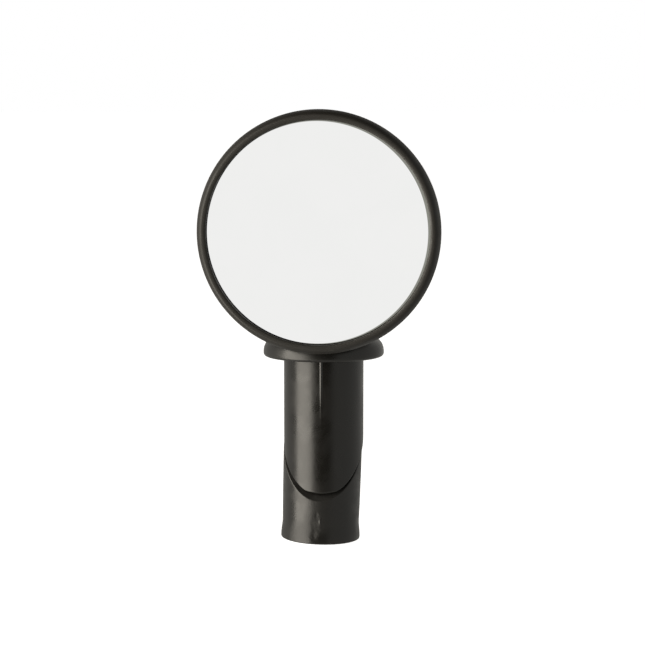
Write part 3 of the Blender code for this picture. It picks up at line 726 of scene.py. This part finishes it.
ball_top_angle = math.degrees(math.acos(STUD_RADIUS / BALL_RADIUS))
stud = turned("ball_and_shank", [
    (0, stud_high.z, 0),
    (TANG_RADIUS, stud_high.z, 0.3),
    (TANG_RADIUS, STUD_SHOULDER, 0.1),
    (STUD_RADIUS, STUD_SHOULDER, 0.2),
    *round_stretch(BALL_RADIUS, ball_top_angle, -89.5, 48),
    (0, stud_low.z, 0),
], closed=False, steps=120)
polished = plated_metal("polished_steel", (0.68, 0.68, 0.67), (0.55, 0.55, 0.54), 0.10, depth=0.0015)
fit(stud, polished, "head", "ball_stud")

# ---- Socket collar ----
# A nylon ring pressed over the turret. Its lip closes over the seat and keeps the ball in, and its
# throat is flared to let the neck lean over.
collar_low, collar_high = box_mm("socket_collar")
LIP_BOTTOM = seat_high.z + GAP
THROAT = SEAT_INNER * math.sin(math.radians(54))
GRIPS = 30
GRIP_DEPTH = 0.14


def collar_outline(angle):
    """The collar's outline, a little shallower where one of its finger grips runs down."""
    grip = GRIP_DEPTH * max(0.0, math.cos(GRIPS * angle)) ** 0.7
    outer = collar_high.x - grip
    return rounded([
        (collar_high.x - 0.5, collar_high.z, 0.2),
        (outer, collar_high.z - 0.75, 0.15),
        (outer, collar_low.z, 0.3),
        (TURRET_RADIUS + GAP, collar_low.z, 0.15),
        (TURRET_RADIUS + GAP, LIP_BOTTOM, 0.1),
        (THROAT, LIP_BOTTOM, 0.05),
        (THROAT, collar_high.z - 0.45, 0.3),
        (THROAT + 0.65, collar_high.z, 0.15),
    ])


collar = skin("ball_collar", collar_outline, even_angles(360))
fit(collar, cap_nylon, "plug", "socket_collar")

# ---- Neck ----
# A bent nylon arm, moulded in one with the round pad that it is screwed to the head by. It stands
# on the ball's shank and turns forward behind the head, with a fillet where it meets the pad.
neck_low, neck_high = box_mm("neck_arm")
PAD_HEIGHT = 24.0
PAD_FRONT = neck_low.y
PAD_BACK = PAD_FRONT + 2.2
PAD_RADIUS = neck_high.z - PAD_HEIGHT
NECK_RADIUS = 3.0
NECK_EDGE = 0.35           # rounding of the arm's lower end
NECK_BEND = 5.5
NECK_FILLET = 1.3
TANG_DEPTH = 4.8
SCREW_CIRCLE = NECK_RADIUS + 0.5 + 1.9
SCREW_ANGLES = (90, 210, 330)
SCREW_HOLE = 1.4


def neck_sections():
    """Middle, direction and radius of each ring along the arm, from the stud to the pad's face."""
    bottom, bend_start = neck_low.z, PAD_HEIGHT - NECK_BEND
    up, forward = Vector((0, 0, 1)), Vector((0, -1, 0))
    yield Vector((0, 0, bottom)), up, 0.0
    yield Vector((0, 0, bottom)), up, NECK_RADIUS - NECK_EDGE
    yield Vector((0, 0, bottom + 0.1)), up, NECK_RADIUS - 0.1
    straight = bottom + NECK_EDGE
    for step in range(9):
        yield Vector((0, 0, straight + (bend_start - straight) * step / 9)), up, NECK_RADIUS
    for step in range(41):
        turn = math.radians(90 * step / 40)
        middle = Vector((0, -NECK_BEND + NECK_BEND * math.cos(turn), bend_start + NECK_BEND * math.sin(turn)))
        left = max(0.0, middle.y - PAD_BACK - 0.05)
        swell = 0.0
        if left < NECK_FILLET:
            swell = NECK_FILLET - math.sqrt(NECK_FILLET**2 - (NECK_FILLET - left) ** 2)
        yield middle, Vector((0, -math.sin(turn), math.cos(turn))), NECK_RADIUS + swell
    for radius, y in rounded([
        (NECK_RADIUS + NECK_FILLET, PAD_BACK, 0),
        (PAD_RADIUS, PAD_BACK, 0.4),
        (PAD_RADIUS, PAD_FRONT, 0.15),
        (0, PAD_FRONT, 0),
    ], closed=False):
        yield Vector((0, y, PAD_HEIGHT)), forward, radius


def swept(name, sections, steps):
    """A closed piece from rings, each a (middle, direction, radius). It closes on a point at each end."""
    shape = bmesh.new()
    rings = []
    for middle, direction, radius in sections:
        if radius < 1e-6:
            rings.append([shape.verts.new(middle * MM)] * steps)
            continue
        side = Vector((1, 0, 0))
        other = direction.cross(side)
        rings.append([
            shape.verts.new((
                middle + side * radius * math.cos(2 * math.pi * step / steps)
                + other * radius * math.sin(2 * math.pi * step / steps)
            ) * MM)
            for step in range(steps)
        ])
    for lower, upper in zip(rings, rings[1:]):
        join_rings(shape, lower, upper)
    bmesh.ops.recalc_face_normals(shape, faces=shape.faces)
    return as_object(name, shape)


def screw_places():
    """X and height of each neck screw."""
    for angle in SCREW_ANGLES:
        turn = math.radians(angle)
        yield SCREW_CIRCLE * math.cos(turn), PAD_HEIGHT + SCREW_CIRCLE * math.sin(turn)


def aim(piece, x, y, height, forward):
    """Turn a piece made along local Z to run forward or back, with its zero height at this place."""
    turn = Matrix.Rotation(math.radians(90 if forward else -90), 4, "X")
    piece.data.transform(Matrix.Translation((x * MM, y * MM, height * MM)) @ turn)
    return piece


def drill(name, radius, top, bottom, steps=48):
    """A plain round bar along local Z, which carve takes away to leave a hole."""
    corners = [(0, top, 0), (radius, top, 0), (radius, bottom, 0), (0, bottom, 0)]
    return turned(name, corners, closed=False, steps=steps)


neck = swept("neck", neck_sections(), 96)
carve(neck, drill("tang_hole", TANG_RADIUS + GAP, neck_low.z + TANG_DEPTH, neck_low.z - 1, steps=64))
for x, height in screw_places():
    hole = drill("screw_hole", SCREW_HOLE, 4, -2)
    carve(neck, aim(hole, x, PAD_FRONT, height, forward=False))
neck_nylon = moulded_plastic("neck_nylon", (0.0115, 0.0108, 0.0094), 0.38, pits=4800, depth=0.007)
fit(neck, neck_nylon, "head", "neck_arm")

# ---- Neck screws ----
# Three zinc-plated pan-head screws with cross recesses hold the neck's pad to the rear shell. They
# cut their own thread in the shell's boss.
screw_low, screw_high = box_mm("neck_screw_1")
SCREW_HEAD = (screw_high.x - screw_low.x) / 2
SCREW_FACE = PAD_BACK + GAP
SCREW_HEAD_HEIGHT = screw_high.y - SCREW_FACE
SCREW_LENGTH = SCREW_FACE - screw_low.y
SCREW_CORE = 1.1
RECESS_REACH = 0.95
RECESS_HALF_WIDTH = 0.17
RECESS_TURN = 20           # how much further each screw was turned than the one before, in degrees
for number, (x, height) in enumerate(screw_places(), 1):
    screw = turned(f"pad_screw_{number}", [
        (0, SCREW_HEAD_HEIGHT, 0),
        (SCREW_HEAD * 0.72, SCREW_HEAD_HEIGHT * 0.92, 0.5),
        (SCREW_HEAD, SCREW_HEAD_HEIGHT * 0.30, 0.35),
        (SCREW_HEAD, 0, 0.08),
        (SCREW_CORE, 0, 0.1),
        (SCREW_CORE, -SCREW_LENGTH + 1.2, 0.3),
        (0.25, -SCREW_LENGTH + 0.05, 0.1),
        (0, -SCREW_LENGTH, 0),
    ], closed=False, steps=72)
    recess_floor = SCREW_HEAD_HEIGHT * 0.25
    for turn in (0, 90):
        arm = block(
            "recess", (-RECESS_REACH, -RECESS_HALF_WIDTH, recess_floor),
            (RECESS_REACH, RECESS_HALF_WIDTH, SCREW_HEAD_HEIGHT + 1), bevel=0.05,
        )
        arm.data.transform(Matrix.Rotation(math.radians(turn + RECESS_TURN * number), 4, "Z"))
        carve(screw, arm)
    aim(screw, x, SCREW_FACE, height, forward=False)
    fit(screw, zinc, "head", f"neck_screw_{number}")

# ---- Rear shell ----
# The domed back of the head: a black nylon moulding with a fine grain. Its step meets the bezel,
# its spigot runs up inside the bezel, and a raised round boss carries the neck's pad.
shell_low, shell_high = box_mm("rear_shell")
MIRROR_HEIGHT = (shell_low.z + shell_high.z) / 2
SHELL_RIM = shell_high.x
SPIGOT_FRONT = -shell_low.y
bezel_low, bezel_high = box_mm("bezel_ring")
BEZEL_BACK = -bezel_high.y
BEZEL_INNER = bezel_high.x - 1.0
SPIGOT_RADIUS = BEZEL_INNER - GAP
BOSS_FACE = -PAD_FRONT + GAP
DOME_BACK = BOSS_FACE + 0.3
DOME_RIM = 15.0
DOME_EDGE = SPIGOT_RADIUS + 0.2
SHELL_WALL = 1.6
GROOVE_RADIUS = DOME_EDGE - 3.2
plate_low, plate_high = box_mm("backing_plate")
SPIGOT_INNER = plate_high.x + 1.7


def dome(back, edge, steps):
    """Points over the shell's dome, or inside it, from a middle at this depth to an edge radius."""
    rise = DOME_RIM - DOME_BACK
    centre = DOME_BACK + (DOME_EDGE**2 + rise**2) / (2 * rise)
    points = []
    for step in range(steps + 1):
        r = edge * step / steps
        points.append((r, centre - math.sqrt((centre - back) ** 2 - r * r), 0))
    return points


def with_groove(points, radius, half_width, depth):
    """Cut a shallow round groove into a dome's points."""
    return [
        (r, z + depth * math.exp(-((r - radius) / half_width) ** 4), rounding)
        for r, z, rounding in points
    ]


shell_step = BEZEL_BACK - GAP
outer_dome = with_groove(dome(DOME_BACK, DOME_EDGE, 90), GROOVE_RADIUS, half_width=0.38, depth=0.22)
shell = turned("domed_back", [
    *dome(DOME_BACK + SHELL_WALL, SPIGOT_INNER, 30),
    (SPIGOT_INNER, SPIGOT_FRONT, 0.2),
    (SPIGOT_RADIUS, SPIGOT_FRONT, 0.2),
    (SPIGOT_RADIUS, shell_step, 0.05),
    (SHELL_RIM, shell_step, 0.12),
    *outer_dome[::-1],
], closed=False)
aim(shell, 0, 0, MIRROR_HEIGHT, forward=True)
boss = turned("boss", [
    (0, -plate_high.y - GAP, 0),
    (PAD_RADIUS + GAP, -plate_high.y - GAP, 0.2),
    (PAD_RADIUS + GAP, BOSS_FACE, 0.12),
    (0, BOSS_FACE, 0),
], closed=False, steps=128)
carve(shell, aim(boss, 0, 0, PAD_HEIGHT, forward=True), "UNION")
for x, height in screw_places():
    hole = drill("pilot_hole", SCREW_HOLE, 1, -SCREW_LENGTH - GAP)
    carve(shell, aim(hole, x, PAD_BACK, height, forward=False))
shell_nylon = moulded_plastic(
    "shell_nylon", (0.0150, 0.0140, 0.0122), 0.46, pits=2600, depth=0.022, ripple=0.5, spread=0.07,
)
fit(shell, shell_nylon, "head", "rear_shell")

# ---- Backing plate and foam ----
# A dark moulded plate, stiffened by round ribs, is glued inside the shell. A disc of soft grey
# closed-cell foam on it presses the glass forward and keeps it from rattling.
RIBS = (8.0, 14.0)
RIB_HEIGHT = 0.22
plate_corners = [(0, -plate_low.y, 0), (plate_high.x, -plate_low.y, 0.2), (plate_high.x, -plate_high.y, 0.2)]
for rib in sorted(RIBS, reverse=True):
    for edge, drop in ((0.8, 0), (0.5, RIB_HEIGHT), (-0.5, RIB_HEIGHT), (-0.8, 0)):
        plate_corners.append((rib + edge, -plate_high.y + drop, 0.05))
plate = turned("stiffening_plate", [*plate_corners, (0, -plate_high.y, 0)], closed=False, steps=120)
aim(plate, 0, 0, MIRROR_HEIGHT, forward=True)
plate_plastic = moulded_plastic("plate_plastic", (0.055, 0.055, 0.056), 0.5, pits=2600, depth=0.015)
fit(plate, plate_plastic, "head", "backing_plate")

foam_low, foam_high = box_mm("foam_pad")
GLASS_CURVE = 600.0        # radius of the curve that the glass is bent to


def sag(radius):
    """How far the glass's curve falls back at this distance from its middle."""
    return radius**2 / (2 * GLASS_CURVE)


def crowned(middle, edge, steps):
    """Points over the glass's slight crown, from its middle out to an edge radius."""
    return [(edge * step / steps, middle - sag(edge * step / steps), 0) for step in range(steps + 1)]


foam = turned("glass_cushion", [
    *crowned(-foam_low.y, foam_high.x, 12)[:-1],
    (foam_high.x, -foam_low.y - sag(foam_high.x), 0.35),
    (foam_high.x, -foam_high.y, 0.35),
    (0, -foam_high.y, 0),
], closed=False, steps=120)
aim(foam, 0, 0, MIRROR_HEIGHT, forward=True)


def closed_cell_foam():
    """Foam: small cells pressed in as pits, with painted shade darkening the grey towards each pit's middle.
    """
    made, tree, surface, where = new_finish("cell_foam")
    cells = node(tree, "ShaderNodeTexVoronoi", {"Vector": where, "Scale": 3200.0})
    cell = between(tree, cells.outputs["Distance"], 0.1, 0.6, 0.0, 1.0)
    # Painted shade: the grey is darkest where each cell's pit is deepest.
    grey = blend(tree, cell, (0.07, 0.07, 0.07, 1.0), (0.20, 0.20, 0.20, 1.0))
    tree.links.new(grey, surface["Base Color"])
    press_in(tree, surface, cell, depth=0.08)
    surface["Roughness"].default_value = 0.95
    return made


fit(foam, closed_cell_foam(), "head", "foam_pad")

# ---- Gasket ----
# A soft black rubber ring with an L section round the glass. It keeps water out, and takes up the
# slack between the glass, the shell's spigot and the bezel.
gasket_low, gasket_high = box_mm("glass_gasket")
GASKET_WALL = 0.5
GASKET_LEG = 0.6
gasket = turned("glass_seal", [
    (gasket_high.x, -gasket_low.y, 0.12),
    (gasket_high.x, -gasket_high.y, 0.15),
    (SPIGOT_INNER + GAP, -gasket_high.y, 0.12),
    (SPIGOT_INNER + GAP, -gasket_high.y + GASKET_LEG, 0.12),
    (gasket_high.x - GASKET_WALL, -gasket_high.y + GASKET_LEG, 0.08),
    (gasket_high.x - GASKET_WALL, -gasket_low.y, 0.12),
])
aim(gasket, 0, 0, MIRROR_HEIGHT, forward=True)
rubber = moulded_plastic(
    "black_rubber", (0.010, 0.010, 0.010), 0.68, pits=3200, depth=0.01, worn=0.1, specular=0.35,
)
fit(gasket, rubber, "head", "glass_gasket")

# ---- Mirror glass ----
# A round of 2 mm glass, bent slightly outwards and silvered, so that it shows more of the road. Its
# rim is ground to a narrow bevel. A thin grey ring, a little off centre, is painted on the silvering
# near its rim: a painted reflection of the bezel's inner wall.
glass_low, glass_high = box_mm("mirror_glass")
GLASS_RADIUS = glass_high.x
GLASS_FRONT = -glass_low.y
GLASS_BACK = -glass_high.y
RIM_GRIND = 0.15
# Where the painted reflection of the bezel's inner wall, a grey ring near the glass's rim, begins.
RIM_REFLECTION_RADIUS = GLASS_RADIUS - 0.65
RIM_REFLECTION_SHIFT = 0.3         # to the left, so the painted reflection shows wider on the right
RIM_REFLECTION_FADE = 0.12         # the width that the painted reflection fades in over
glass = turned("silvered_glass_disc", [
    *crowned(GLASS_FRONT, GLASS_RADIUS - RIM_GRIND, 28),
    (GLASS_RADIUS, GLASS_FRONT - sag(GLASS_RADIUS) - RIM_GRIND, 0),
    (GLASS_RADIUS, GLASS_BACK + RIM_GRIND, 0),
    *crowned(GLASS_BACK + sag(GLASS_RADIUS), GLASS_RADIUS - RIM_GRIND, 28)[::-1],
], closed=False, steps=256)
aim(glass, 0, 0, MIRROR_HEIGHT, forward=True)


def silvered_glass():
    """Silvering seen through clean glass, faintly uneven, with a painted reflection of the bezel's inner wall
    as a grey ring near its rim.
    """
    made, tree, surface, where = new_finish("silvering")
    touched = node(tree, "ShaderNodeGroup", {
        "Coordinate": where, "Patches per metre": 60.0,
    }, node_tree=handling_marks)
    silver = blend(
        tree, touched.outputs["Patch"], (0.930, 0.930, 0.925, 1.0), (0.922, 0.923, 0.918, 1.0),
    )
    flat = node(tree, "ShaderNodeVectorMath", {0: where, 1: (1.0, 0.0, 1.0)}, operation="MULTIPLY")
    from_middle = node(tree, "ShaderNodeVectorMath", {
        0: flat.outputs[0], 1: (-RIM_REFLECTION_SHIFT * MM, 0.0, MIRROR_HEIGHT * MM),
    }, operation="DISTANCE").outputs["Value"]
    # Painted reflection: towards the rim the colour turns dark grey, standing in for the bezel's inner wall
    # seen in the glass.
    fade_end = (RIM_REFLECTION_RADIUS + RIM_REFLECTION_FADE) * MM
    painted_rim_reflection = between(tree, from_middle, RIM_REFLECTION_RADIUS * MM, fade_end, 0.0, 1.0)
    tree.links.new(blend(tree, painted_rim_reflection, silver, (0.27, 0.27, 0.24, 1.0)), surface["Base Color"])
    surface["Metallic"].default_value = 1.0
    surface["Roughness"].default_value = 0.0
    return made


fit(glass, silvered_glass(), "head", "mirror_glass")

# ---- Bezel ----
# A black ring with a convex, half-round face, snapped over the shell's spigot. Its lip holds the
# glass in. Its moulded face is satin, with a finer grain than the shell's.
BEZEL_RADIUS = bezel_high.x
BEZEL_FRONT = -bezel_low.y
WINDOW_RADIUS = GLASS_RADIUS - 0.3
LIP_THICKNESS = 1.2
LIP_BACK = BEZEL_FRONT - LIP_THICKNESS
WIDEST = BEZEL_BACK + 1.6  # the depth at which the ring is widest
CREST_SHIFT = 0.35         # the crest lies this far inside the middle of the face
CREST = (BEZEL_RADIUS + WINDOW_RADIUS) / 2 - CREST_SHIFT
LIP_DROP = 0.72            # from the crest down to where the lip meets the window
LIP_SQUARENESS = 0.62      # under 1, the lip turns down into the window more sharply


def quarter(start, end, steps):
    """Angles from one to the other, in degrees, as radians."""
    return [math.radians(start + (end - start) * step / steps) for step in range(steps + 1)]


lip = [
    (
        CREST - (CREST - WINDOW_RADIUS) * abs(math.cos(turn)) ** LIP_SQUARENESS,
        BEZEL_FRONT - LIP_DROP * (1 - math.sin(turn) ** LIP_SQUARENESS), 0,
    )
    for turn in quarter(180, 90, 14)
]
face = [
    (
        CREST + (BEZEL_RADIUS - CREST) * math.cos(turn),
        WIDEST + (BEZEL_FRONT - WIDEST) * math.sin(turn), 0,
    )
    for turn in quarter(90, 0, 26)[1:]
]
bezel = turned("bezel", [
    (WINDOW_RADIUS, LIP_BACK, 0.1),
    *lip,
    *face,
    (BEZEL_RADIUS - 0.35, BEZEL_BACK + 0.12, 0),
    (BEZEL_RADIUS - 0.5, BEZEL_BACK, 0),
    (BEZEL_INNER, BEZEL_BACK, 0.12),
    (BEZEL_INNER, LIP_BACK, 0.1),
], steps=256)
aim(bezel, 0, 0, MIRROR_HEIGHT, forward=True)
bezel_plastic = moulded_plastic(
    "bezel_plastic", (0.0105, 0.0092, 0.0072), 0.56, pits=5200, depth=0.006, ripple=0.4, specular=0.42,
)
fit(bezel, bezel_plastic, "head", "bezel_ring")

# ---- Studio ----
# A plain white floor, a tall softbox to the left, an even surround, and a long lens a little to the
# right of the mirror and above it. Only the camera sees the floor, so that it doesn't cut off what
# the plug mirrors of the softbox and of the surround.
FLOOR_DROP = 4.0           # leaves room for the wedge at its slackest
floor_shape = bmesh.new()
bmesh.ops.create_grid(floor_shape, x_segments=1, y_segments=1, size=30.0)
floor = as_object("floor", floor_shape)
floor.location.z = cad_box[0][2] - FLOOR_DROP * MM
for light_path in ("glossy", "diffuse", "transmission", "shadow"):
    setattr(floor, f"visible_{light_path}", False)
floor_paint = bpy.data.materials.new("floor_paint")
floor_paint.use_nodes = True
paint = floor_paint.node_tree.nodes["Principled BSDF"]
paint.inputs["Base Color"].default_value = (0.9, 0.9, 0.9, 1.0)
paint.inputs["Roughness"].default_value = 0.9
paint.inputs["Emission Color"].default_value = (1.0, 1.0, 1.0, 1.0)
paint.inputs["Emission Strength"].default_value = 0.85
floor.data.materials.append(floor_paint)


def softbox(name, azimuth, distance, size, height, watts, colour):
    """A rectangular light that faces the plug. Azimuth is in degrees to the right of the front."""
    lamp = bpy.data.lights.new(name, "AREA")
    lamp.shape = "RECTANGLE"
    lamp.size, lamp.size_y = size
    lamp.energy = watts
    lamp.color = colour
    made = bpy.data.objects.new(name, lamp)
    bpy.context.scene.collection.objects.link(made)
    turn = math.radians(azimuth)
    made.location = (distance * math.sin(turn), -distance * math.cos(turn), height)
    made.rotation_euler = (math.radians(90), 0, turn)
    return made


softbox(
    "left_softbox", azimuth=-56, distance=0.90, size=(0.80, 1.60), height=0.0, watts=21.0,
    colour=(1.0, 0.94, 0.83),
)


def studio_surround():
    """Even surround: dark behind the camera and overhead, pale to the sides and behind the mirror."""
    world = bpy.data.worlds.new("studio")
    bpy.context.scene.world = world
    world.use_nodes = True
    tree = world.node_tree
    direction = node(tree, "ShaderNodeSeparateXYZ", {
        0: node(tree, "ShaderNodeTexCoord").outputs["Generated"],
    })
    forward = worked_out(tree, "MULTIPLY", direction.outputs["Y"], -1.0)
    behind_camera = between(tree, forward, 0.80, 0.95, 0.0, 1.0)
    path = node(tree, "ShaderNodeLightPath")
    overhead = between(tree, direction.outputs["Z"], 0.50, 0.75, 0.0, 1.0)
    dim = worked_out(tree, "MAXIMUM", behind_camera, overhead)
    soft = blend(tree, dim, (0.50, 0.49, 0.46, 1.0), (0.036, 0.035, 0.032, 1.0))
    mirrored = blend(tree, path.outputs["Is Singular Ray"], soft, (0.93, 0.93, 0.925, 1.0))
    seen = blend(tree, path.outputs["Is Camera Ray"], mirrored, (1.0, 1.0, 1.0, 1.0))
    tree.links.new(seen, tree.nodes["Background"].inputs["Color"])


studio_surround()
bpy.context.scene.view_settings.view_transform = "Standard"

CAMERA_AZIMUTH = math.radians(3.75)
CAMERA_DISTANCE = 477.0
CAMERA_HEIGHT = 59.4
AIM_SIDE = -0.3
AIM_HEIGHT = 7.88
lens = bpy.data.cameras.new("camera")
lens.lens = 112.4
lens.sensor_width = 36.0
camera = bpy.data.objects.new("camera", lens)
bpy.context.scene.collection.objects.link(camera)
camera.location = Vector((
    CAMERA_DISTANCE * math.sin(CAMERA_AZIMUTH), -CAMERA_DISTANCE * math.cos(CAMERA_AZIMUTH), CAMERA_HEIGHT,
)) * MM
target = Vector((AIM_SIDE, 0, AIM_HEIGHT)) * MM
camera.rotation_euler = (target - camera.location).to_track_quat("-Z", "Y").to_euler()
bpy.context.scene.camera = camera
